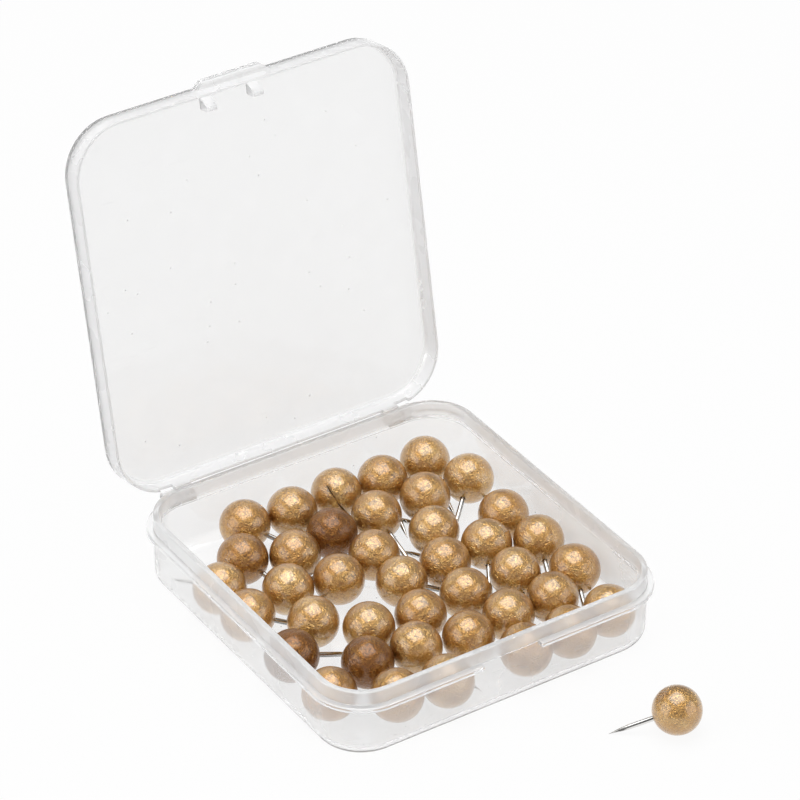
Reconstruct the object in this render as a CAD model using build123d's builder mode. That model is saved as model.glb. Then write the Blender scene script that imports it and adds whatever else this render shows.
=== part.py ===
from build123d import *
import math
import os

os.makedirs("parts", exist_ok=True)

# A clear hinged case, open, with a layer of gold ball-headed push pins in its tray
# and one more pin lying on the table in front of it. Millimetres. X runs along the
# front edge, Y back to the hinge and Z up, from the middle of the tray's underside.

# Tray
case_width = 74.0
case_depth = 77.4
corner_radius = 9.3
bottom_radius = 2.8
wall = 0.9
floor = 0.9
ledge_overhang = 1.3
ledge_under = 11.2
ledge_thickness = 1.1
collar_rise = 2.8
collar_wall = 1.2
collar_drop = 0.8
rim_radius = 0.3
finger_gap = 12.8
finger_gap_radius = 0.6

# Lid
lid_side_setback = 0.15
lid_end_setback = 0.5
lid_seat_gap = 0.1
lid_plate = 1.1
skirt_height = 4.8
skirt_wall = 0.6
lid_edge_radius = 0.4
lid_inner_radius = 1.2
tab_width = 16.4
tab_tip_width = 12.8
tab_reach = 1.4
tab_thickness = 2.1
tab_drop = 0.3
tab_radius = 0.8
lug_places = (-6.0, 4.3)
lug_width = 2.3
lug_root = 2.75
lug_tip = 0.95
lug_reach = 2.8
lug_radius = 0.3
lug_gap = 0.1
boss_diameter = 0.7
boss_rise = 0.15

# Hinge: pivots moulded on the lid snap into blind sockets in ears on the ends of the
# ledge, and a heel on each knuckle rests against the tray's wall when the lid stands open
hinge_notch = 51.6
hinge_setout = 0.6
hinge_drop = 0.1
open_angle = 101.0
pivot_diameter = 1.2
pivot_length = 2.0
pivot_clearance = 0.05
ear_wall = 0.5
ear_width = 2.6
knuckle_width = 3.4
hinge_side_gap = 0.2
strap_depth = 0.5
stop_gap = 0.05
stop_heel = 1.0

# Pins
head_diameter = 10.0
needle_diameter = 1.0
needle_length = 9.5
needle_seat = 6.0
needle_taper = 4.0
tip_diameter = 0.12
glue_gap = 0.02
pin_gap = 0.05
needle_gap = 0.2
loose_head_diameter = 9.4
loose_needle_length = 8.6
loose_spot = (21.4, -60.5)
loose_heading = 152.0

# Where the pins were dropped, row by row from the front: the share of the free floor
# to the right and to the back, and the way the needle points, from right to back
away = 57.0
pin_rows = [
    [(-0.67, -0.95, away), (-0.33, -1.0, 120), (0.26, -1.0, away), (0.59, -1.0, away),
     (0.93, -0.96, away)],
    [(-1.0, -0.73, away), (-0.64, -0.6, away), (-0.3, -0.63, -62), (0.03, -0.72, away),
     (0.37, -0.67, away), (0.73, -0.66, away)],
    [(-0.99, -0.3, -3), (-0.44, -0.32, away), (-0.1, -0.39, away), (0.27, -0.35, away),
     (0.66, -0.34, -102), (1.0, -0.52, away)],
    [(-0.7, -0.09, away), (0.0, -0.04, -25), (0.35, -0.02, 96), (0.68, 0.0, -117),
     (0.99, -0.14, -107)],
    [(-1.0, 0.18, -25), (-0.65, 0.27, away), (-0.32, 0.19, away), (0.01, 0.28, away),
     (0.48, 0.29, away), (0.96, 0.2, away)],
    [(-1.0, 0.51, 106), (-0.72, 0.67, -80), (-0.42, 0.55, away), (-0.1, 0.61, -50),
     (0.26, 0.62, -83), (0.64, 0.62, away), (1.0, 0.64, -138)],
    [(-0.51, 0.98, -48), (-0.18, 0.94, away), (0.18, 0.96, away), (0.51, 0.92, away),
     (0.87, 0.95, -97)],
]
settle_rounds = 400
heading_step = 3.0

# Levels and outlines that follow
body_width = case_width - 2 * ledge_overhang
body_depth = case_depth - 2 * ledge_overhang
ledge_top = ledge_under + ledge_thickness
collar_top = ledge_top + collar_rise
step_level = ledge_top - collar_drop
skirt_bottom = ledge_top + lid_seat_gap
lid_top = skirt_bottom + skirt_height
lid_width = case_width - 2 * lid_side_setback
lid_depth = case_depth - 2 * lid_end_setback
lid_radius = corner_radius + ledge_overhang
inside_radius = bottom_radius - wall

hinge_y = case_depth / 2 + hinge_setout
hinge_z = ledge_top - hinge_drop
wall_distance = ledge_overhang + hinge_setout
ear_radius = pivot_diameter / 2 + pivot_clearance + ear_wall
ear_inside = hinge_notch / 2
ear_outside = ear_inside + ear_width
knuckle_outside = ear_inside - hinge_side_gap
swing = math.radians(open_angle)


# Tray
with BuildPart() as tray:
    with BuildSketch():
        RectangleRounded(body_width, body_depth, corner_radius)
    extrude(amount=collar_top)
    fillet(tray.edges().group_by(Axis.Z)[0], bottom_radius)

    # Ledge that the lid's skirt lands on
    with BuildSketch(Plane.XY.offset(ledge_under)):
        RectangleRounded(case_width, case_depth, corner_radius + ledge_overhang)
    extrude(amount=ledge_thickness)

    # Inside, up to the small step under the collar
    with BuildSketch(Plane.XY.offset(floor)):
        RectangleRounded(body_width - 2 * wall, body_depth - 2 * wall, corner_radius - wall)
    extrude(amount=step_level - floor, mode=Mode.SUBTRACT)
    fillet(tray.faces(Select.LAST).sort_by(Axis.Z)[0].edges(), inside_radius)
    with BuildSketch(Plane.XY.offset(step_level)):
        RectangleRounded(
            body_width - 2 * collar_wall, body_depth - 2 * collar_wall, corner_radius - collar_wall
        )
    extrude(amount=collar_top - step_level, mode=Mode.SUBTRACT)
    fillet(tray.faces().sort_by(Axis.Z)[-1].edges(), rim_radius)

    # Finger gap in the front of the ledge, its lower corners rounded
    with BuildSketch(Plane.XY.offset(ledge_under)):
        with Locations((0, -(body_depth + ledge_overhang) / 2)):
            Rectangle(finger_gap, ledge_overhang)
    extrude(amount=ledge_thickness, mode=Mode.SUBTRACT)
    gap_ends = tray.faces(Select.LAST).filter_by(Axis.X).edges().filter_by(Axis.Y)
    fillet(gap_ends.group_by(Axis.Z)[0], finger_gap_radius)

    # Rear notch for the hinge, with an ear on the ledge at each end
    with BuildSketch(Plane.XY.offset(ledge_under)):
        with Locations((0, (body_depth + ledge_overhang) / 2)):
            Rectangle(hinge_notch, ledge_overhang)
    extrude(amount=ledge_thickness, mode=Mode.SUBTRACT)
    for start in (-ear_outside, ear_inside):
        with BuildSketch(Plane.YZ.offset(start)):
            with Locations((hinge_y, hinge_z)):
                Circle(ear_radius)
            with Locations((hinge_y - (wall_distance + wall / 2) / 2, hinge_z)):
                Rectangle(wall_distance + wall / 2, ledge_thickness)
        extrude(amount=ear_width)
    for start in (-ear_inside - pivot_length, ear_inside):
        with BuildSketch(Plane.YZ.offset(start)):
            with Locations((hinge_y, hinge_z)):
                Circle(pivot_diameter / 2 + pivot_clearance)
        extrude(amount=pivot_length, mode=Mode.SUBTRACT)

tray.part.label = "tray"
export_step(tray.part, "parts/tray.step")


# Lid, drawn closed and standing open on its hinge: lid_frame is the lid's own frame,
# with its origin on the hinge axis
lid_frame = Plane(
    origin=(0, hinge_y, hinge_z), x_dir=(1, 0, 0), z_dir=(0, math.sin(swing), math.cos(swing))
)
lid_axis = Axis(lid_frame.origin, lid_frame.z_dir)
lid_low = lid_frame.offset(skirt_bottom - hinge_z)
lid_under = lid_frame.offset(lid_top - lid_plate - hinge_z)
skirt_rear = lid_depth / 2 - hinge_y

with BuildPart() as lid:
    with BuildSketch(lid_low):
        with Locations((0, -hinge_y)):
            RectangleRounded(lid_width, lid_depth, lid_radius)
    extrude(amount=skirt_height)
    fillet(lid.faces().sort_by(lid_axis)[-1].edges(), lid_edge_radius)
    with BuildSketch(lid_low):
        with Locations((0, -hinge_y)):
            RectangleRounded(
                lid_width - 2 * skirt_wall, lid_depth - 2 * skirt_wall, lid_radius - skirt_wall
            )
    extrude(amount=skirt_height - lid_plate, mode=Mode.SUBTRACT)
    fillet(lid.faces(Select.LAST).sort_by(lid_axis)[-1].edges(), lid_inner_radius)

    # Cut-outs in the rear skirt over the tray's ears
    cut_width = ear_outside + hinge_side_gap - knuckle_outside
    cut_depth = skirt_wall + ear_radius
    cut_x = knuckle_outside + cut_width / 2
    cut_y = skirt_rear - cut_depth / 2
    with BuildSketch(lid_frame):
        with Locations((-cut_x, cut_y), (cut_x, cut_y)):
            Rectangle(cut_width, cut_depth)
    extrude(amount=ear_radius + hinge_side_gap, mode=Mode.SUBTRACT)

    # Knuckles beside the ears, each with a strap to the rear skirt and a stop heel
    strap_reach = skirt_wall - skirt_rear
    strap_height = skirt_bottom - hinge_z + skirt_wall + strap_depth
    stop_flat = wall_distance - stop_gap
    heel_root = (-stop_flat * math.cos(swing), -stop_flat * math.sin(swing))
    heel_tip = (heel_root[0] + stop_heel * math.sin(swing), heel_root[1] - stop_heel * math.cos(swing))
    heel_back = (stop_heel * math.sin(swing), -stop_heel * math.cos(swing))
    for start in (-knuckle_outside, knuckle_outside - knuckle_width):
        side = Plane(
            origin=lid_frame.from_local_coords((start, 0, 0)), x_dir=lid_frame.y_dir, z_dir=(1, 0, 0)
        )
        with BuildSketch(side):
            Circle(ear_radius)
            with Locations((-strap_reach / 2, strap_height / 2 - strap_depth)):
                Rectangle(strap_reach, strap_height)
            Polygon((0, 0), heel_root, heel_tip, heel_back, align=None)
        extrude(amount=knuckle_width)
    for start in (-knuckle_outside - pivot_length, knuckle_outside):
        side = Plane(
            origin=lid_frame.from_local_coords((start, 0, 0)), x_dir=lid_frame.y_dir, z_dir=(1, 0, 0)
        )
        with BuildSketch(side):
            Circle(pivot_diameter / 2)
        extrude(amount=pivot_length)

    # Thumb tab on the front of the skirt
    front = -hinge_y - lid_depth / 2
    with BuildSketch(lid_frame.offset(lid_top - tab_drop - tab_thickness - hinge_z)) as tab:
        Polygon(
            (-tab_width / 2, front + skirt_wall / 2),
            (tab_width / 2, front + skirt_wall / 2),
            (tab_width / 2, front),
            (tab_tip_width / 2, front - tab_reach),
            (-tab_tip_width / 2, front - tab_reach),
            (-tab_width / 2, front),
            align=None,
        )
        fillet(tab.vertices().group_by(Axis.Y)[0], tab_radius)
    extrude(amount=tab_thickness)

    # Latch lugs behind the tray's collar, slanted in front to lead in, with a boss on each tip
    lead_in = (lug_root - lug_tip) / lug_reach * (lid_top - lid_plate - collar_top)
    lug_front = collar_wall + lug_gap - lead_in - body_depth / 2 - hinge_y
    lug_side = Plane(origin=lid_under.origin, x_dir=lid_under.y_dir, z_dir=(1, 0, 0))
    for place in lug_places:
        with BuildSketch(lug_side.offset(place - lug_width / 2)) as lug:
            Polygon(
                (lug_front, lid_plate / 2),
                (lug_front, 0),
                (lug_front + lug_root - lug_tip, -lug_reach),
                (lug_front + lug_root, -lug_reach),
                (lug_front + lug_root, lid_plate / 2),
                align=None,
            )
            fillet(lug.vertices().group_by(Axis.Y)[0], lug_radius)
        extrude(amount=lug_width)
        with BuildSketch(lid_under.offset(lug_radius - lug_reach)):
            with Locations((place, lug_front + lug_root - lug_tip / 2)):
                Circle(boss_diameter / 2)
        extrude(amount=-lug_radius - boss_rise)

lid.part.label = "lid"
export_step(lid.part, "parts/lid.step")


# Lay of the pins: the heads settle until none overlaps another or the wall
head_radius = head_diameter / 2
reach_x = body_width / 2 - wall - pin_gap
reach_y = body_depth / 2 - wall - pin_gap
reach_radius = corner_radius - wall - pin_gap


def inside(x, y, margin):
    """The nearest place to (x, y) that keeps the margin from the tray's rounded wall."""
    core_x = reach_x - reach_radius
    core_y = reach_y - reach_radius
    near_x = min(max(x, -core_x), core_x)
    near_y = min(max(y, -core_y), core_y)
    out = math.hypot(x - near_x, y - near_y)
    room = reach_radius - margin
    if out > room:
        x = near_x + (x - near_x) * room / out
        y = near_y + (y - near_y) * room / out
    return x, y


def settle(spots):
    pitch = head_diameter + pin_gap
    for _ in range(settle_rounds):
        for i in range(len(spots)):
            for j in range(i):
                (ax, ay), (bx, by) = spots[i], spots[j]
                apart = math.hypot(ax - bx, ay - by)
                if 0 < apart < pitch:
                    push = (pitch - apart) / apart / 2
                    dx = (ax - bx) * push
                    dy = (ay - by) * push
                    spots[i] = (ax + dx, ay + dy)
                    spots[j] = (bx - dx, by - dy)
        spots = [inside(x, y, head_radius) for x, y in spots]
    return spots


def needle_way(heading, radius, length):
    """The needle's direction with the head and the needle's tip both on the ground."""
    tilt = math.asin((radius - tip_diameter / 2) / (radius + length))
    turn = math.radians(heading)
    return Vector(
        math.cos(tilt) * math.cos(turn), math.cos(tilt) * math.sin(turn), -math.sin(tilt)
    )


def off_line(point, start, end):
    """Distance of a point from the straight line between two others."""
    along = end - start
    share = (point - start).dot(along) / along.dot(along)
    return (point - start - along * min(max(share, 0), 1)).length


def off_needle(one, other):
    """Distance between two needles, read at places along the first."""
    start, end = one
    places = math.ceil(needle_length / needle_gap)
    return min(off_line(start + (end - start) * (k / places), *other) for k in range(places + 1))


def has_room(centre, way, centres, needles):
    """A needle has room where it clears the other heads, the needles laid so far and the wall."""
    line = (centre + way * head_radius, centre + way * (head_radius + needle_length))
    tip = line[1]
    if inside(tip.X, tip.Y, inside_radius) != (tip.X, tip.Y):
        return False
    near = [c for c in centres if c != centre and (c - tip).length < 2 * (head_diameter + needle_length)]
    if any(off_line(c, *line) < head_radius + needle_diameter / 2 + pin_gap for c in near):
        return False
    return all(off_needle(line, other) > needle_diameter + pin_gap for other in needles)


# The free floor that the shares count on reaches a head's radius short of the walls
pins = [pin for row in pin_rows for pin in row]
row_of = [number for number, row in enumerate(pin_rows, 1) for _ in row]
free_x = reach_x - head_radius
free_y = reach_y - head_radius
places = settle([(x * free_x, y * free_y) for x, y, _ in pins])
head_level = floor + pin_gap + head_radius
centres = [Vector(x, y, head_level) for x, y in places]

# Each needle lies the way it was dropped, or turned aside as little as finds it room.
# The needles that show are laid first.
turns = [0.0]
for k in range(1, math.ceil(180 / heading_step) + 1):
    turns += [k * heading_step, -k * heading_step]
laid = {}
heads_in = []
needles_in = []
for k in sorted(range(len(pins)), key=lambda k: pins[k][2] == away):
    centre = centres[k]
    if any((centre - other).length < head_diameter for other in heads_in):
        continue
    for turn in turns:
        way = needle_way(pins[k][2] + turn, head_radius, needle_length)
        if has_room(centre, way, centres, needles_in):
            heads_in.append(centre)
            needles_in.append(
                (centre + way * head_radius, centre + way * (head_radius + needle_length))
            )
            laid[k] = (centre, way)
            break


def needle_profile(radius, length):
    """Half the needle's outline along its axis, from its root in the head to its tip."""
    root = radius - needle_seat + glue_gap
    tip = radius + length
    return [
        (root, 0),
        (tip, 0),
        (tip, tip_diameter / 2),
        (tip - needle_taper, needle_diameter / 2),
        (root, needle_diameter / 2),
    ]


# Boxed pins: every head a piece of its own, the needles of a row together
for number in range(1, len(pin_rows) + 1):
    row = [laid[k] for k in sorted(laid) if row_of[k] == number]
    for place, (centre, way) in enumerate(row, 1):
        with BuildPart() as head:
            with Locations(Plane(centre, z_dir=way)):
                Sphere(head_radius)
            with BuildSketch(Plane(centre + way * head_radius, z_dir=way)):
                Circle(needle_diameter / 2 + glue_gap)
            extrude(amount=-needle_seat, mode=Mode.SUBTRACT)
        head.part.label = f"row_{number}_head_{place}"
        export_step(head.part, f"parts/row_{number}_head_{place}.step")

    with BuildPart() as needles:
        for centre, way in row:
            with BuildSketch(Plane(centre, x_dir=way, z_dir=way.cross(Vector(0, 0, 1)))):
                Polygon(*needle_profile(head_radius, needle_length), align=None)
            revolve(axis=Axis(centre, way))
    needles.part.label = f"row_{number}_needles"
    export_step(needles.part, f"parts/row_{number}_needles.step")


# Loose pin on the table
loose_radius = loose_head_diameter / 2
loose_centre = Vector(*loose_spot, loose_radius)
loose_way = needle_way(loose_heading, loose_radius, loose_needle_length)

with BuildPart() as loose_head:
    with Locations(Plane(loose_centre, z_dir=loose_way)):
        Sphere(loose_radius)
    with BuildSketch(Plane(loose_centre + loose_way * loose_radius, z_dir=loose_way)):
        Circle(needle_diameter / 2 + glue_gap)
    extrude(amount=-needle_seat, mode=Mode.SUBTRACT)
loose_head.part.label = "loose_head"
export_step(loose_head.part, "parts/loose_head.step")

with BuildPart() as loose_needle:
    with BuildSketch(
        Plane(loose_centre, x_dir=loose_way, z_dir=loose_way.cross(Vector(0, 0, 1)))
    ):
        Polygon(*needle_profile(loose_radius, loose_needle_length), align=None)
    revolve(axis=Axis(loose_centre, loose_way))
loose_needle.part.label = "loose_needle"
export_step(loose_needle.part, "parts/loose_needle.step")
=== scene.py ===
import math

import bmesh
import bpy
from mathutils import Matrix, Vector


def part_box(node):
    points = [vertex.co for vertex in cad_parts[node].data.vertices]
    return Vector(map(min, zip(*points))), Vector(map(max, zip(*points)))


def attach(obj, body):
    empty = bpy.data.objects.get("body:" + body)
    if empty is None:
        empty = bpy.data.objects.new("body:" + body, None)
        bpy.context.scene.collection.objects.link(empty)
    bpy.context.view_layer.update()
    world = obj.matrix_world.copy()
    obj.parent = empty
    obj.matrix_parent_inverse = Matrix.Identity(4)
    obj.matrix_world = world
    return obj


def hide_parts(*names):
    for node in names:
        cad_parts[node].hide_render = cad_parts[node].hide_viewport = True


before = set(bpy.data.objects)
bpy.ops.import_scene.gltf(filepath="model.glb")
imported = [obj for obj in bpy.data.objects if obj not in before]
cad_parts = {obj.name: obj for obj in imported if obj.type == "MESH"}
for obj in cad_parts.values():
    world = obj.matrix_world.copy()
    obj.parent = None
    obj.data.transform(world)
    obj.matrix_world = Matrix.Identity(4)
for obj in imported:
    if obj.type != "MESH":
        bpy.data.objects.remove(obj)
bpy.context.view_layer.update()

mm = 0.001

# Tray of the case: one thin injection moulding in clear, slightly milky polypropylene.
# Its section runs from the underside over the rounded bottom edge, the ledge and the
# collar to the floor inside, and is drawn once and carried round the corners.


def pick(test, of_selected=False):
    """Selects the vertices whose place passes the test, of all or of those selected."""
    mesh = bmesh.from_edit_mesh(bpy.context.object.data)
    for vert in mesh.verts:
        vert.select = bool(test(vert.co)) and (vert.select or not of_selected)
    mesh.select_mode = {"VERT"}
    mesh.select_flush_mode()
    bmesh.update_edit_mesh(bpy.context.object.data)


def chosen():
    """Numbers of the selected vertices."""
    mesh = bmesh.from_edit_mesh(bpy.context.object.data)
    mesh.verts.index_update()
    return {vert.index for vert in mesh.verts if vert.select}


def choose(numbers):
    """Selects the vertices with these numbers and the edges between them."""
    mesh = bmesh.from_edit_mesh(bpy.context.object.data)
    mesh.verts.index_update()
    for vert in mesh.verts:
        vert.select = vert.index in numbers
    mesh.select_mode = {"VERT"}
    mesh.select_flush_mode()
    bmesh.update_edit_mesh(bpy.context.object.data)


def trace(name, points):
    """Starts a piece as a chain of edges through the points, from a plane drawn to a point."""
    bpy.ops.object.select_all(action="DESELECT")
    bpy.ops.mesh.primitive_plane_add(size=mm)
    piece = bpy.context.object
    piece.name = piece.data.name = name
    bpy.ops.object.mode_set(mode="EDIT")
    bpy.ops.mesh.select_mode(type="VERT")
    bpy.ops.mesh.merge(type="CENTER")
    bpy.ops.transform.translate(value=points[0])
    for start, end in zip(points, points[1:]):
        step = tuple(b - a for a, b in zip(start, end))
        bpy.ops.mesh.extrude_vertices_move(TRANSFORM_OT_translate={"value": step})
    return piece


def round_corner(place, radius, segments):
    """Rounds the section's corner at this place."""
    pick(lambda co: (co - Vector(place)).length < 0.005 * mm)
    bpy.ops.mesh.bevel(offset=radius, segments=segments, affect="VERTICES")


def carry_round(half_width, half_depth, corner, gaps=(0, 0), steps=14):
    """Carries the section, drawn at the middle of the right side, round to the middle of
    the front and of the rear, and leaves the ledge away over the gaps there."""
    bpy.ops.object.mode_set(mode="OBJECT")
    bpy.ops.object.mode_set(mode="EDIT")
    bpy.ops.mesh.select_all(action="SELECT")
    first = chosen()
    for side, gap in zip((-1, 1), gaps):
        choose(first)
        core_x = half_width - corner
        core_y = side * (half_depth - corner)
        bpy.ops.mesh.extrude_edges_move(TRANSFORM_OT_translate={"value": (0, core_y, 0)})
        bpy.ops.mesh.spin(
            steps=steps, angle=-side * math.pi / 2, center=(core_x, core_y, 0), axis=(0, 0, 1)
        )
        bpy.ops.mesh.extrude_edges_move(
            TRANSFORM_OT_translate={"value": (gap - core_x, 0, 0)}
        )
        if gap:
            bpy.ops.mesh.extrude_edges_move(TRANSFORM_OT_translate={"value": (0, 0, 0)})
            ring = chosen()
            wall_y = side * half_depth
            pick(lambda co: side * co.y > half_depth + 0.001 * mm, of_selected=True)
            bpy.ops.transform.resize(value=(1, 0, 1), center_override=(0, wall_y, 0))
            choose(ring)
            bpy.ops.mesh.extrude_edges_move(TRANSFORM_OT_translate={"value": (-gap, 0, 0)})
    bpy.ops.object.mode_set(mode="OBJECT")
    bpy.ops.object.modifier_add(type="MIRROR")
    bpy.context.object.modifiers[-1].merge_threshold = 0.005 * mm
    bpy.ops.object.modifier_apply(modifier=bpy.context.object.modifiers[-1].name)


def close_floor(levels):
    """Fills the open middle of the moulding at these heights."""
    bpy.ops.object.mode_set(mode="EDIT")
    bpy.ops.mesh.select_all(action="SELECT")
    bpy.ops.mesh.remove_doubles(threshold=0.003 * mm)
    for level in levels:
        bpy.ops.mesh.select_all(action="DESELECT")
        bpy.ops.mesh.select_non_manifold(extend=False)
        pick(lambda co: abs(co.z - level) < 0.01 * mm, of_selected=True)
        bpy.ops.mesh.edge_face_add()
    bpy.ops.mesh.select_all(action="SELECT")
    bpy.ops.mesh.normals_make_consistent(inside=False)
    bpy.ops.object.mode_set(mode="OBJECT")


def fuse(piece, tool, operation):
    """Joins the tool to the piece, or cuts it out, and takes the tool away."""
    bpy.ops.object.select_all(action="DESELECT")
    bpy.context.view_layer.objects.active = piece
    piece.select_set(True)
    bpy.ops.object.modifier_add(type="BOOLEAN")
    cut = piece.modifiers[-1]
    cut.object, cut.operation, cut.solver = tool, operation, "MANIFOLD"
    bpy.ops.object.modifier_apply(modifier=cut.name)
    bpy.data.objects.remove(tool)


def bar(radius, start, end, vertices=32):
    """A round bar between two points."""
    bpy.ops.object.select_all(action="DESELECT")
    run = Vector(end) - Vector(start)
    bpy.ops.mesh.primitive_cylinder_add(
        vertices=vertices, radius=radius, depth=run.length,
        location=(Vector(start) + Vector(end)) / 2,
        rotation=run.to_track_quat("Z", "Y").to_euler(),
    )
    bpy.ops.object.transform_apply()
    return bpy.context.object


def block(low, high):
    """A block between two corners."""
    bpy.ops.object.select_all(action="DESELECT")
    middle = [(a + b) / 2 for a, b in zip(low, high)]
    bpy.ops.mesh.primitive_cube_add(size=1, location=middle)
    bpy.context.object.scale = [b - a for a, b in zip(low, high)]
    bpy.ops.object.transform_apply()
    return bpy.context.object


body_half_x, body_half_y, body_corner = 35.7 * mm, 37.4 * mm, 9.3 * mm
wall, floor_up, bottom_radius = 0.9 * mm, 0.9 * mm, 2.8 * mm
ledge_out, ledge_under, ledge_top = 1.3 * mm, 11.2 * mm, 12.3 * mm
collar_wall, collar_top, step_up = 1.2 * mm, 15.1 * mm, 11.5 * mm
flat_in = 6 * mm
finger_gap, hinge_gap, gap_radius = 6.4 * mm, 25.8 * mm, 0.6 * mm
rim_radius, root_radius = 0.3 * mm, 0.12 * mm
overlap, wall_clear = 0.1 * mm, 0.13 * mm
hinge_y, hinge_z = 39.3 * mm, 12.2 * mm
ear_radius, ear_width, web_half = 1.15 * mm, 2.6 * mm, 0.55 * mm
pivot_radius, pivot_length, socket_radius = 0.6 * mm, 2 * mm, 0.65 * mm


def side(out, up):
    """A point of the tray's section, so far outside its wall and so far up."""
    return (body_half_x + out, 0, up)


tray_section = [
    side(-flat_in, 0), side(0, 0), side(0, ledge_under), side(ledge_out, ledge_under),
    side(ledge_out, ledge_top), side(0, ledge_top), side(0, collar_top),
    side(-collar_wall, collar_top), side(-collar_wall, step_up), side(-wall, step_up),
    side(-wall, floor_up), side(-flat_in, floor_up),
]
tray = trace("tray_moulding", tray_section)
round_corner(tray_section[1], bottom_radius, 8)
round_corner(tray_section[10], bottom_radius - wall, 7)
for corner in tray_section[3:5] + tray_section[6:8]:
    round_corner(corner, rim_radius, 4)
for corner in (tray_section[2], tray_section[5]):
    round_corner(corner, root_radius, 2)
carry_round(body_half_x, body_half_y, body_corner, gaps=(finger_gap, hinge_gap))
close_floor((0, floor_up))

# Rounded lower corners of the ledge where it stops at the finger gap
front = -body_half_y - ledge_out
for sign in (-1, 1):
    ends = sorted((sign * (finger_gap - overlap), sign * (finger_gap + gap_radius)))
    waste = block(
        (ends[0], front - overlap, ledge_under - overlap),
        (ends[1], -body_half_y - wall_clear, ledge_under + gap_radius),
    )
    core_x = sign * (finger_gap + gap_radius)
    core_z = ledge_under + gap_radius
    core = bar(gap_radius, (core_x, front - mm, core_z), (core_x, -body_half_y + mm, core_z))
    fuse(waste, core, "DIFFERENCE")
    fuse(tray, waste, "DIFFERENCE")

# Hinge ears on the ends of the rear ledge, each with a blind socket for the lid's pivot
for sign in (-1, 1):
    near, far = sign * hinge_gap, sign * (hinge_gap + ear_width)
    web = block(
        (min(near, far), body_half_y - wall / 2, hinge_z - web_half),
        (max(near, far), hinge_y, hinge_z + web_half),
    )
    fuse(tray, web, "UNION")
    fuse(tray, bar(ear_radius, (near, hinge_y, hinge_z), (far, hinge_y, hinge_z)), "UNION")
    mouth, blind = near - sign * overlap, near + sign * pivot_length
    socket = bar(socket_radius, (mouth, hinge_y, hinge_z), (blind, hinge_y, hinge_z))
    fuse(tray, socket, "DIFFERENCE")


class Shade:
    """A shader socket that plain Python sums can use; node() adds any other node."""

    def __init__(self, tree, out=None):
        self.tree = tree
        self.out = out

    def node(self, kind, settings=(), inputs=(), out=0):
        made = self.tree.nodes.new(kind)
        for key, value in dict(settings).items():
            if key == "stops":
                ramp = made.color_ramp.elements
                while len(ramp) < len(value):
                    ramp.new(0.5)
                for stop, (place, colour) in zip(ramp, value):
                    stop.position, stop.color = place, colour
            else:
                setattr(made, key, value)
        for key, value in dict(inputs).items():
            if isinstance(value, Shade):
                self.tree.links.new(value.out, made.inputs[key])
            else:
                made.inputs[key].default_value = value
        return Shade(self.tree, made.outputs[out] if made.outputs else None)

    def math(self, operation, first, second=0.0):
        return self.node("ShaderNodeMath", {"operation": operation}, {0: first, 1: second})

    def __add__(self, other):
        return self.math("ADD", self, other)

    def __sub__(self, other):
        return self.math("SUBTRACT", self, other)

    def __rsub__(self, other):
        return self.math("SUBTRACT", other, self)

    def __mul__(self, other):
        return self.math("MULTIPLY", self, other)

    def __pow__(self, other):
        return self.math("POWER", self, other)

    __radd__ = __add__
    __rmul__ = __mul__

    def blend(self, first, second):
        """Goes from the first colour to the second as this value goes from 0 to 1."""
        return self.node("ShaderNodeMix", {"data_type": "RGBA"}, {0: self, 6: first, 7: second}, 2)

    def ramp(self, *stops):
        return self.node("ShaderNodeValToRGB", {"stops": stops}, {0: self})


def new_finish(name):
    """An empty material to add nodes to."""
    finish = bpy.data.materials.new(name)
    finish.use_nodes = True
    finish.node_tree.nodes.clear()
    return finish, Shade(finish.node_tree)


def show(shade):
    """Sends a finished shader to the material's output."""
    shade.node("ShaderNodeOutputMaterial", (), {"Surface": shade})


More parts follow.
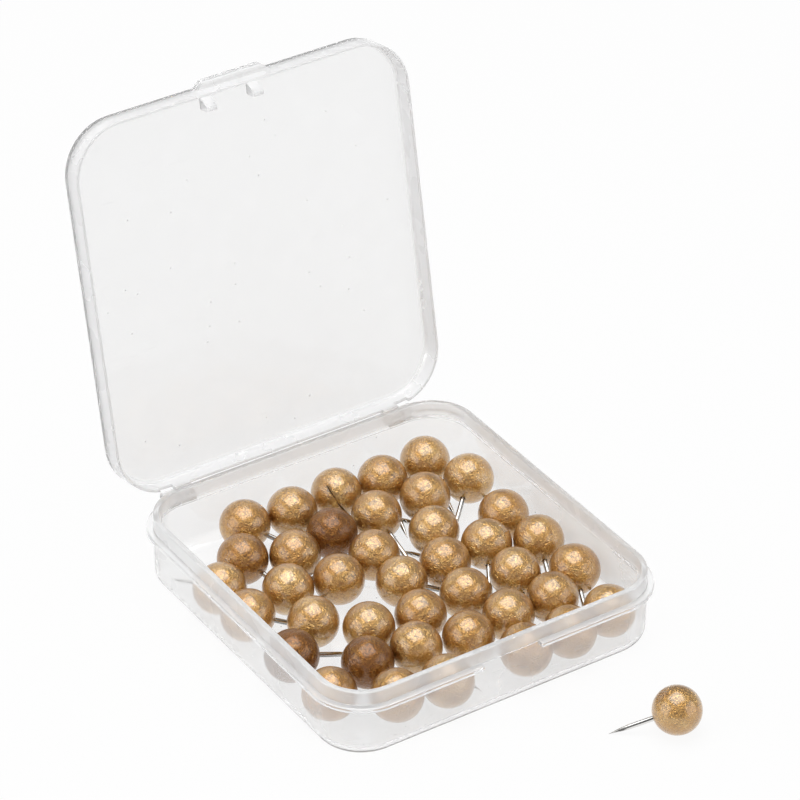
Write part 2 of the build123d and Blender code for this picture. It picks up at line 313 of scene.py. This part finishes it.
def milky_plastic(name, veil, rim_veil, rim_way, rim_from, clear_to, rear_share, frost):
    """Clear polypropylene: see-through with a milky veil, thicker at a slant and in the rim,
    which lies past rim_from along rim_way. Before clear_to it is nearly clear, and towards the
    rear the veil thins to rear_share, save on the left wall. It has faint flow marks, scratches
    and specks of dust, and lamps shine through it."""
    finish, shade = new_finish(name)
    place = shade.node("ShaderNodeTexCoord", (), (), "Object")
    flow = shade.node("ShaderNodeTexNoise", (), {"Vector": place, "Scale": 90.0, "Detail": 3.0})
    fine = shade.node("ShaderNodeTexNoise", (), {"Vector": place, "Scale": 900.0, "Detail": 2.0})
    nearest = shade.node("ShaderNodeTexVoronoi", (), {"Vector": place, "Scale": 230.0}, "Distance")
    specks = nearest.ramp((0.035, (1, 1, 1, 1)), (0.05, (0, 0, 0, 1)))
    drawn_out = shade.node(
        "ShaderNodeMapping", (),
        {"Vector": place, "Rotation": (0.5, 0.9, 0.4), "Scale": (1.0, 1.0, 14.0)},
    )
    rubbed = shade.node(
        "ShaderNodeTexNoise", (), {"Vector": drawn_out, "Scale": 260.0, "Detail": 2.0}
    )
    scratches = rubbed.ramp((0.70, (0, 0, 0, 1)), (0.74, (1, 1, 1, 1)))
    along = shade.node(
        "ShaderNodeVectorMath", {"operation": "DOT_PRODUCT"}, {0: place, 1: rim_way}, "Value"
    )
    rim = shade.node(
        "ShaderNodeMapRange", {"interpolation_type": "SMOOTHSTEP"},
        {0: along, 1: rim_from - 0.3 * mm, 2: rim_from + 0.1 * mm, 3: 0.0, 4: 1.0},
    )
    slant = shade.node("ShaderNodeLayerWeight", (), {"Blend": 0.35}, "Facing")
    relief = shade.node(
        "ShaderNodeBump", (), {"Strength": 0.03, "Distance": 0.1 * mm, "Height": flow + fine * 0.3}
    )
    white = flow.blend((0.92, 0.92, 0.925, 1), (0.96, 0.96, 0.965, 1))
    milk = shade.node(
        "ShaderNodeBsdfPrincipled", (),
        {
            "Base Color": specks.blend(white, (0.6, 0.6, 0.6, 1)),
            "Roughness": 0.22 + 0.12 * flow,
            "IOR": 1.49,
            "Normal": relief,
        },
    )
    waves = shade.node(
        "ShaderNodeBump", (), {"Strength": 0.006, "Distance": 0.1 * mm, "Height": flow}
    )
    glass = shade.node(
        "ShaderNodeBsdfPrincipled", (),
        {
            "Base Color": (0.985, 0.985, 0.985, 1),
            "Roughness": frost + 0.2 * rim + 0.04 * flow,
            "IOR": 1.34,
            "Transmission Weight": 1.0,
            "Normal": waves,
        },
    )
    above = shade.node(
        "ShaderNodeMapRange", {"interpolation_type": "SMOOTHSTEP"},
        {0: along, 1: clear_to, 2: clear_to + 1.5 * mm, 3: 0.1, 4: 1.0},
    )
    to_rear = shade.node("ShaderNodeSeparateXYZ", (), {0: place}, "Y")
    to_right = shade.node("ShaderNodeSeparateXYZ", (), {0: place}, "X")
    from_front = shade.node(
        "ShaderNodeMapRange", {"interpolation_type": "SMOOTHSTEP"},
        {0: to_rear, 1: -15 * mm, 2: 28 * mm, 3: 1.0, 4: rear_share},
    )
    at_left = shade.node(
        "ShaderNodeMapRange", {"interpolation_type": "SMOOTHSTEP"},
        {0: to_right, 1: -34 * mm, 2: -25 * mm, 3: 1.0, 4: 0.0},
    )
    cloudy = shade.math("MAXIMUM", from_front, at_left)
    cloud = veil * above * cloudy + rim_veil * rim + 0.6 * slant**3.0 + 0.04 * (flow - 0.5)
    thickness = cloud + 0.35 * specks + 0.06 * scratches
    plastic = shade.node("ShaderNodeMixShader", (), {0: thickness, 1: glass, 2: milk})
    lamp_ray = shade.node("ShaderNodeLightPath", (), (), "Is Shadow Ray")
    soft_ray = shade.node("ShaderNodeLightPath", (), (), "Is Diffuse Ray")
    lit_through = shade.math("MAXIMUM", lamp_ray, soft_ray)
    through = shade.node("ShaderNodeBsdfTransparent", (), {"Color": (0.94, 0.94, 0.94, 1)})
    show(shade.node("ShaderNodeMixShader", (), {0: lit_through, 1: plastic, 2: through}))
    return finish


def dress(piece, finish, body, slot, *nodes):
    """Gives a piece its material and its CAD body, and hides the nodes it stands for. The slot is
    not used.
    """
    piece.data.materials.clear()
    piece.data.materials.append(finish)
    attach(piece, body)
    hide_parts(*nodes)


def smooth(piece, degrees):
    """Shades a piece smooth up to this angle, with its broad faces kept flat."""
    bpy.ops.object.select_all(action="DESELECT")
    bpy.context.view_layer.objects.active = piece
    piece.select_set(True)
    bpy.ops.object.shade_smooth_by_angle(angle=math.radians(degrees))
    bpy.ops.object.modifier_add(type="WEIGHTED_NORMAL")
    piece.modifiers[-1].keep_sharp = True
    bpy.ops.object.modifier_apply(modifier=piece.modifiers[-1].name)


smooth(tray, 40)
clear = milky_plastic(
    "tray_polypropylene", veil=0.24, rim_veil=0.18, rim_way=(0, 0, 1), rim_from=ledge_top,
    clear_to=1.5 * mm, rear_share=0.4, frost=0.02,
)
dress(tray, clear, "tray", "clear_case", "tray")


# Lid of the case: a second moulding in the same plastic, a plate with a skirt that slides
# over the collar. It is drawn closed and then swung open on the hinge's axis, and its
# pivots snap into the ears of the tray.

lid_half_x, lid_half_y, lid_corner = 36.85 * mm, 38.2 * mm, 10.6 * mm
lid_top, lid_under, skirt_bottom, skirt_wall = 17.2 * mm, 16.1 * mm, 12.4 * mm, 0.6 * mm
edge_radius, inner_radius, skirt_edge = 0.4 * mm, 1.2 * mm, 0.15 * mm
knuckle_width, side_gap, notch_in = 3.4 * mm, 0.2 * mm, 1.75 * mm
strap_depth, heel_reach, heel_drop = 0.5 * mm, 1.85 * mm, 1 * mm
open_angle = math.radians(101)


def lid_side(out, up):
    """A point of the lid's section, so far outside its skirt and so far up."""
    return (lid_half_x + out, 0, up)


lid_section = [
    lid_side(-flat_in, lid_top), lid_side(0, lid_top), lid_side(0, skirt_bottom),
    lid_side(-skirt_wall, skirt_bottom), lid_side(-skirt_wall, lid_under),
    lid_side(-flat_in, lid_under),
]
lid = trace("lid_moulding", lid_section)
round_corner(lid_section[1], edge_radius, 6)
round_corner(lid_section[4], inner_radius, 6)
for corner in lid_section[2:4]:
    round_corner(corner, skirt_edge, 3)
carry_round(lid_half_x, lid_half_y, lid_corner)
close_floor((lid_top, lid_under))

# Cut-outs over the ears, then the knuckles with straps, stop heels and pivots
for sign in (-1, 1):
    ends = sorted((sign * (hinge_gap - side_gap), sign * (hinge_gap + ear_width + side_gap)))
    notch = block(
        (ends[0], lid_half_y - notch_in, hinge_z - mm),
        (ends[1], lid_half_y + mm, hinge_z + ear_radius + side_gap),
    )
    fuse(lid, notch, "DIFFERENCE")
    near = sign * (hinge_gap - side_gap)
    far = near - sign * knuckle_width
    start, end = min(near, far), max(near, far)
    fuse(lid, bar(ear_radius, (near, hinge_y, hinge_z), (far, hinge_y, hinge_z)), "UNION")
    strap = block(
        (start, lid_half_y - skirt_wall, hinge_z - strap_depth),
        (end, hinge_y, skirt_bottom + skirt_wall),
    )
    fuse(lid, strap, "UNION")
    heel = block((start, hinge_y - heel_reach, hinge_z - heel_drop), (end, hinge_y, hinge_z))
    heel.data.transform(
        Matrix.Translation((0, hinge_y, hinge_z))
        @ Matrix.Rotation(open_angle, 4, "X")
        @ Matrix.Translation((0, -hinge_y, -hinge_z))
    )
    fuse(lid, heel, "UNION")
    root, tip = near - sign * overlap, near + sign * pivot_length
    pivot = bar(pivot_radius, (root, hinge_y, hinge_z), (tip, hinge_y, hinge_z))
    fuse(lid, pivot, "UNION")

# Thumb tab on the front skirt, narrower towards its tip
tab_half, tab_tip_half, tab_reach, tab_edge = 8.2 * mm, 6.4 * mm, 1.4 * mm, 0.35 * mm
tab_low, tab_high = lid_top - 2.4 * mm, lid_top - 0.3 * mm
tab = block(
    (-tab_half, -lid_half_y - tab_reach, tab_low),
    (tab_half, -lid_half_y + skirt_wall / 2, tab_high),
)
bpy.ops.object.mode_set(mode="EDIT")
pick(lambda co: co.y < -lid_half_y - mm)
bpy.ops.transform.resize(value=(tab_tip_half / tab_half, 1, 1), center_override=(0, 0, 0))
bpy.ops.mesh.select_mode(type="EDGE")
bpy.ops.mesh.bevel(offset=tab_edge, segments=3, affect="EDGES")
bpy.ops.object.mode_set(mode="OBJECT")
fuse(lid, tab, "UNION")

# Two latch lugs under the plate's front, wedges with a small round boss on their tips
lug_left, lug_right, lug_front, lug_half = -6.0 * mm, 4.3 * mm, -36.743 * mm, 1.15 * mm
lug_root, lug_tip, lug_reach, lug_edge = 2.75 * mm, 0.95 * mm, 2.8 * mm, 0.3 * mm
boss_radius, boss_root, boss_rise = 0.35 * mm, 0.3 * mm, 0.15 * mm
lug_end = lid_under - lug_reach
for lug_x in (lug_left, lug_right):
    lug = block(
        (lug_x - lug_half, lug_front, lug_end),
        (lug_x + lug_half, lug_front + lug_root, lid_under + skirt_wall / 2),
    )
    bpy.ops.object.mode_set(mode="EDIT")
    pick(lambda co: co.z < lid_under - mm and co.y < lug_front + mm)
    bpy.ops.transform.translate(value=(0, lug_root - lug_tip, 0))
    pick(lambda co: co.z < lid_under - mm)
    bpy.ops.mesh.select_mode(type="EDGE")
    bpy.ops.mesh.bevel(offset=lug_edge, segments=3, affect="EDGES")
    bpy.ops.object.mode_set(mode="OBJECT")
    fuse(lid, lug, "UNION")
    boss_y = lug_front + lug_root - lug_tip / 2
    boss_top, boss_tip = lug_end + boss_root, lug_end - boss_rise
    boss = bar(boss_radius, (lug_x, boss_y, boss_top), (lug_x, boss_y, boss_tip))
    fuse(lid, boss, "UNION")

# Swung open. The cloudier rim is the skirt, from just inside the plate
swing = (
    Matrix.Translation((0, hinge_y, hinge_z))
    @ Matrix.Rotation(-open_angle, 4, "X")
    @ Matrix.Translation((0, -hinge_y, -hinge_z))
)
lid.data.transform(swing)
inward = swing.to_3x3() @ Vector((0, 0, -1))
skirt_from = inward.dot(swing @ Vector((0, 0, lid_under - 0.3 * mm)))
smooth(lid, 40)
nowhere = -1.0
clear = milky_plastic(
    "lid_polypropylene", veil=0.16, rim_veil=0.35, rim_way=inward, rim_from=skirt_from,
    clear_to=nowhere, rear_share=1.0, frost=0.05,
)
dress(lid, clear, "lid", "clear_case", "lid")


# Bead heads: turned wooden balls, drilled for the needle and dipped in metallic gold paint
# that crinkles as it dries. Four have browned and one has split. They lie loose on the
# tray's floor, and the one of the loose pin lies on the table.


def lie_of(node):
    """Centre, radius and needle direction of a pin, from its head's solid: the needle's bore
    ends a little past the centre and opens on the ball's surface."""
    low, high = (Vector(corner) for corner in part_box(node))
    centre = (low + high) / 2
    radius = (high.z - low.z) / 2
    corners = {vert.co.to_tuple(6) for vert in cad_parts[node].data.vertices}
    bore_end = [Vector(c) for c in corners if (Vector(c) - centre).length < 0.6 * radius]
    bottom = sum(bore_end, Vector()) / len(bore_end)
    pole = centre + (centre - bottom).normalized() * radius
    bore_edge = [Vector(c) for c in corners if (Vector(c) - pole).length < 0.16 * radius]
    mouth = sum(bore_edge, Vector()) / len(bore_edge)
    return centre, radius, (mouth - bottom).normalized()


bead_radius, chamfer, chamfer_share, bore_depth = 5 * mm, 0.15 * mm, 0.94, 2 * mm
bpy.ops.object.select_all(action="DESELECT")
bpy.ops.mesh.primitive_uv_sphere_add(segments=48, ring_count=28, radius=bead_radius)
turned_ball = bpy.context.object
bpy.ops.object.mode_set(mode="EDIT")
pick(lambda co: co.z > 0.9999 * bead_radius)
bpy.ops.mesh.delete(type="VERT")
bpy.ops.mesh.select_non_manifold(extend=False)
bpy.ops.mesh.extrude_edges_move(TRANSFORM_OT_translate={"value": (0, 0, -chamfer)})
bpy.ops.transform.resize(value=(chamfer_share, chamfer_share, 1))
bpy.ops.mesh.extrude_edges_move(TRANSFORM_OT_translate={"value": (0, 0, -bore_depth)})
bpy.ops.mesh.edge_face_add()
bpy.ops.object.mode_set(mode="OBJECT")
smooth(turned_ball, 40)


def copy_of(piece, name):
    """Another piece of the same shape, with a mesh of its own."""
    twin = piece.copy()
    twin.data = piece.data.copy()
    twin.name = twin.data.name = name
    bpy.context.scene.collection.objects.link(twin)
    return twin


def bead(name, node, number, browned):
    """A copy of the ball, turned to the pin's lie. Its paint follows the ball and differs
    from bead to bead; browned says how far the gold has darkened."""
    centre, radius, way = lie_of(node)
    piece = copy_of(turned_ball, name)
    piece.data.attributes.new("browning", "FLOAT", "POINT")
    for tone in piece.data.attributes["browning"].data:
        tone.value = browned
    piece.data.attributes.new("turning", "FLOAT_VECTOR", "POINT")
    paint_step, first_step, turn_step = Vector((3.7, 1.9, 5.3)), 7, 2.4
    shift = paint_step * (number + first_step)
    for vert, place in zip(piece.data.vertices, piece.data.attributes["turning"].data):
        place.vector = vert.co / bead_radius + shift
    lie = Matrix.Translation(centre) @ way.to_track_quat("Z", "Y").to_matrix().to_4x4()
    size = Matrix.Scale(radius / bead_radius, 4)
    piece.data.transform(lie @ Matrix.Rotation(number * turn_step, 4, "Z") @ size)
    return piece


def gold_paint(name):
    """Metallic gold paint dipped over wood: crinkled in patches and a little pebbled where it
    dried, with flakes of a paler gold under a clear coat, and dull where it has browned."""
    finish, shade = new_finish(name)
    turning = shade.node("ShaderNodeAttribute", {"attribute_name": "turning"}, (), "Vector")
    browning = shade.node("ShaderNodeAttribute", {"attribute_name": "browning"}, (), "Fac")
    crinkle = shade.node(
        "ShaderNodeTexNoise", {"noise_type": "RIDGED_MULTIFRACTAL", "normalize": True},
        {"Vector": turning, "Scale": 6.0, "Detail": 1.5, "Roughness": 0.6, "Distortion": 1.5},
    )
    pebble = shade.node(
        "ShaderNodeTexNoise", (),
        {"Vector": turning, "Scale": 9.0, "Detail": 1.5, "Roughness": 0.5, "Distortion": 1.0},
    )
    broad = shade.node("ShaderNodeTexNoise", (), {"Vector": turning, "Scale": 1.5, "Detail": 2.0})
    patches = broad.ramp((0.40, (0.5, 0.5, 0.5, 1)), (0.60, (1, 1, 1, 1)))
    flakes = shade.node(
        "ShaderNodeTexNoise", (), {"Vector": turning, "Scale": 18.0, "Detail": 1.0}
    )
    tone = 0.27 + 0.12 * pebble + 0.2 * broad + 0.14 * flakes - 0.15 * browning
    colour = tone.ramp(
        (0.36, (0.22, 0.085, 0.013, 1)),
        (0.46, (0.45, 0.224, 0.050, 1)),
        (0.54, (0.58, 0.345, 0.108, 1)),
        (0.64, (0.78, 0.560, 0.260, 1)),
    )
    height = crinkle * patches + 0.5 * pebble + 0.1 * flakes
    relief = shade.node(
        "ShaderNodeBump", (), {"Strength": 1.0, "Distance": 0.42 * mm, "Height": height}
    )
    show(
        shade.node(
            "ShaderNodeBsdfPrincipled", (),
            {
                "Base Color": colour,
                "Metallic": 0.95 - 0.1 * browning,
                "Roughness": 0.28 + 0.1 * flakes,
                "Coat Weight": 1.0 - 0.6 * browning,
                "Coat Roughness": 0.2,
                "Coat IOR": 1.9,
                "Normal": relief,
            },
        )
    )
    return finish


gold = gold_paint("gold_bead_paint")
browned_beads = {
    "row_2_head_2": 0.9, "row_3_head_1": 1.0, "row_6_head_4": 1.0, "row_6_head_2": 0.5,
}
slight_browning = 0.12
heads = sorted(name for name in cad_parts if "head" in name)
beads = {}
for number, node in enumerate(heads):
    browned = browned_beads.get(node, slight_browning * math.sin(2.3 * number))
    beads[node] = bead(node.replace("head", "bead"), node, number, browned)

# A split in the wood of one bead, in two strokes down the side that faces the camera
split_bead = beads["row_7_head_3"]
centre, radius, _ = lie_of("row_7_head_3")
for middle, along, half_size in (
    ((-2.80, -2.90, 2.70), (0.12, -0.48, -0.44), (2.1 * mm, 0.9 * mm, 0.12 * mm)),
    ((-1.00, -4.85, -1.30), (0.63, 0.09, -0.91), (3.8 * mm, 1.4 * mm, 0.2 * mm)),
):
    out = Vector(middle).normalized()
    run = Vector(along)
    run = (run - out * run.dot(out)).normalized()
    bpy.ops.object.select_all(action="DESELECT")
    bpy.ops.mesh.primitive_uv_sphere_add(segments=24, ring_count=16, radius=1)
    stroke = bpy.context.object
    turn = Matrix((run, out, run.cross(out))).transposed().to_4x4()
    stroke.data.transform(
        Matrix.Translation(centre + out * radius) @ turn @ Matrix.Diagonal((*half_size, 1))
    )
    fuse(split_bead, stroke, "DIFFERENCE")

for node, piece in beads.items():
    dress(piece, gold, "loose_pin" if node == "loose_head" else "tray", "gold_bead", node)
bpy.data.objects.remove(turned_ball)


# Needles: drawn steel wire, ground to a long point and nickel plated, pressed and glued
# into the beads. Those of one row are one piece.

needle_radius, needle_point, needle_depth = 0.5 * mm, 4 * mm, 1.5 * mm
needle_out, loose_out = 9.5 * mm, 8.6 * mm
shaft = needle_out - needle_point + needle_depth
bpy.ops.object.select_all(action="DESELECT")
bpy.ops.mesh.primitive_cylinder_add(
    vertices=20, radius=needle_radius, depth=shaft, location=(0, 0, shaft / 2 - needle_depth)
)
ground_wire = bpy.context.object
bpy.ops.object.transform_apply()
bpy.ops.object.mode_set(mode="EDIT")
bpy.ops.mesh.select_mode(type="VERT")
pick(lambda co: co.z > mm)
for share, size in ((0.45, 0.68), (0.35, 0.42), (0.2, 0.25)):
    bpy.ops.mesh.extrude_region_move(
        TRANSFORM_OT_translate={"value": (0, 0, share * needle_point)}
    )
    bpy.ops.transform.resize(value=(size, size, 1))
bpy.ops.object.mode_set(mode="OBJECT")
smooth(ground_wire, 35)
# Coordinates round and along the wire, for the streaks that carry painted reflection
drawing = ground_wire.data.attributes.new("drawing", "FLOAT_VECTOR", "POINT")
along_wire = 60
for vert, place in zip(ground_wire.data.vertices, drawing.data):
    across = (vert.co.x / needle_radius, vert.co.y / needle_radius)
    place.vector = (*across, along_wire * vert.co.z)


def needle(head, name, length):
    """A copy of the needle in its head, cut to its length at the hidden end."""
    centre, radius, way = lie_of(head)
    piece = copy_of(ground_wire, name)
    lie = Matrix.Translation(centre) @ way.to_track_quat("Z", "Y").to_matrix().to_4x4()
    piece.data.transform(lie @ Matrix.Translation((0, 0, radius + length - needle_out)))
    return piece


finish, shade = new_finish("needle_steel")
drawing = shade.node("ShaderNodeAttribute", {"attribute_name": "drawing"}, (), "Vector")
# Streaks along the wire, at random around its girth: a little real roughness and ripple, and
# painted reflection, dark and light, in the steel's colour
wire_streaks_and_painted_reflection = shade.node("ShaderNodeTexNoise", (), {"Vector": drawing, "Scale": 1.7, "Detail": 4.0})
bright = wire_streaks_and_painted_reflection.ramp((0.40, (0, 0, 0, 1)), (0.56, (1, 1, 1, 1)))
relief = shade.node(
    "ShaderNodeBump", (), {"Strength": 0.1, "Distance": 0.02 * mm, "Height": wire_streaks_and_painted_reflection}
)
show(
    shade.node(
        "ShaderNodeBsdfPrincipled", (),
        {
            # Painted reflection: dark and light streaks in the base colour stand in for dark and
            # bright surroundings mirrored in the steel
            "Base Color": bright.blend((0.16, 0.155, 0.15, 1), (0.78, 0.77, 0.75, 1)),
            "Metallic": 1.0,
            "Roughness": 0.08 + 0.12 * wire_streaks_and_painted_reflection,
            "Normal": relief,
        },
    )
)

for node in sorted(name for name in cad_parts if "needle" in name):
    loose = node == "loose_needle"
    prefix = "loose_head" if loose else node.replace("_needles", "_head_")
    length = loose_out if loose else needle_out
    name = node.replace("needle", "steel_needle")
    rods = [needle(head, name, length) for head in heads if head.startswith(prefix)]
    bpy.ops.object.select_all(action="DESELECT")
    for rod in rods:
        rod.select_set(True)
    bpy.context.view_layer.objects.active = rods[0]
    if len(rods) > 1:
        bpy.ops.object.join()
    dress(rods[0], finish, "loose_pin" if loose else "tray", "needle_steel", node)
bpy.data.objects.remove(ground_wire)


# Studio: a white table that runs on to the horizon, soft lamps and a camera with a long
# lens, above and to the left of the case's front. The table lies a hair under the tray.

bpy.ops.object.select_all(action="DESELECT")
table_size, hair = 6, 0.03 * mm
bpy.ops.mesh.primitive_plane_add(size=table_size, location=(0, 0, -hair))
bpy.ops.object.transform_apply()
table = bpy.context.object
table.name = "table"
finish, shade = new_finish("white_table")


def seen_white(shade, in_gloss):
    """1 for what the camera sees straight or through plastic, in_gloss for what it sees in
    gloss, and 0 for light that falls on the object."""
    rays = [
        shade.node("ShaderNodeLightPath", (), (), name)
        for name in ("Is Camera Ray", "Is Transmission Ray", "Is Glossy Ray")
    ]
    return shade.math("MINIMUM", rays[0] + rays[1] + in_gloss * rays[2], 1.0)


matt = shade.node("ShaderNodeBsdfDiffuse", (), {"Color": (0.85, 0.85, 0.85, 1)})
bright = shade.node("ShaderNodeEmission", (), {"Color": (1, 1, 1, 1), "Strength": 1.0})
seen = 0.92 * seen_white(shade, 1.0)
show(shade.node("ShaderNodeMixShader", (), {0: seen, 1: matt, 2: bright}))
table.data.materials.append(finish)

world = bpy.data.worlds.new("studio")
bpy.context.scene.world = world
world.use_nodes = True
world.node_tree.nodes.clear()
sky = Shade(world.node_tree)
strength = 0.18 + 0.82 * seen_white(sky, 0.2)
air = sky.node("ShaderNodeBackground", (), {"Color": (1, 1, 1, 1), "Strength": strength})
air.node("ShaderNodeOutputWorld", (), {"Surface": air})


def lamp(name, place, size, power):
    """A square softbox that faces the case."""
    bpy.ops.object.light_add(type="AREA", location=place)
    made = bpy.context.object
    made.name = name
    made.data.size = size
    made.data.energy = power
    made.rotation_euler = (-Vector(place)).to_track_quat("-Z", "Y").to_euler()


lamp("overhead", (0, 0.05, 0.9), 0.88, 7.2)
lamp("left", (-0.85, 0.12, 0.3), 0.85, 3.2)
lamp("right", (0.55, -0.75, 0.28), 0.9, 3.1)

bpy.ops.object.camera_add(
    location=(-0.36132, -0.55265, 0.49171),
    rotation=(math.radians(90 - 33.971), 0, math.radians(-33.209)),
)
camera = bpy.context.object
camera.data.sensor_width = 36
camera.data.lens = 193.84
camera.data.clip_start = 0.05
bpy.context.scene.camera = camera
bpy.context.scene.view_settings.view_transform = "Standard"
